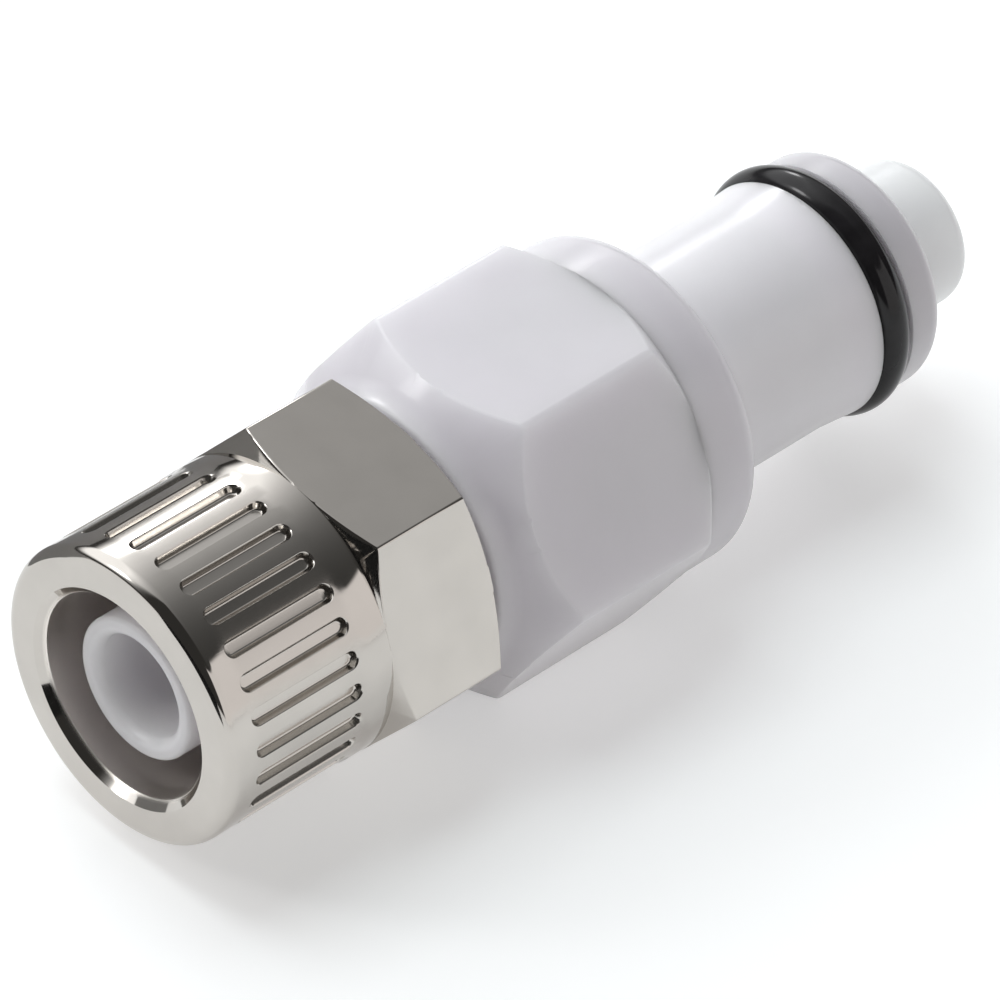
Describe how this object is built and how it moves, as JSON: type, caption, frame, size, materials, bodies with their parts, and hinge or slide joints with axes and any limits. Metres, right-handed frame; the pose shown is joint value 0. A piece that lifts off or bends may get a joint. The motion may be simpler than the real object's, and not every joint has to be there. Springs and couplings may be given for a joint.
{
  "type": "quick disconnect coupling plug",
  "caption": "Plug half of a valved plastic quick disconnect coupling, with a plated compression nut for flexible tubing, a hex body and a round nose with an O-ring.",
  "frame": {"origin": "on the axis, in the front face of the flange, where the nose that enters the socket half starts", "axes": "+X along the axis out of the nose, the way the socket half leaves; +Z out of the middle of a flat of the body hex; +Y across"},
  "size_m": [0.0487, 0.0182, 0.0158],
  "materials": {
    "nickel_plate": "nickel plated over brass, polished",
    "white_moulding": "natural white moulded acetal, satin gloss",
    "valve_moulding": "white moulded acetal, satin gloss",
    "black_rubber": "black O-ring rubber, slightly oiled",
    "spring_steel": "bright stainless spring wire"
  },
  "bodies": {
    "body": {"hex_body": "white_moulding", "nose_body": "white_moulding", "body_seal": "black_rubber", "nose_oring": "black_rubber", "spring_guide": "white_moulding", "valve_spring": "spring_steel"},
    "valve": {"valve_stem": "valve_moulding", "valve_seal": "black_rubber"},
    "nut": {"compression_nut": "nickel_plate"}
  },
  "joints": [
    {"name": "valve_slide", "type": "slide", "parent": "body", "child": "valve", "axis": [-1, 0, 0], "range_m": [0, 0.0034], "stiffness_N_per_m": 1200, "springref_m": -0.004, "deforming": ["valve_spring"]},
    {"name": "nut_turn", "type": "hinge", "parent": "body", "child": "nut", "pos_m": [-0.0231, 0, 0], "axis": [-1, 0, 0], "range_deg": [0, 1080]}
  ]
}
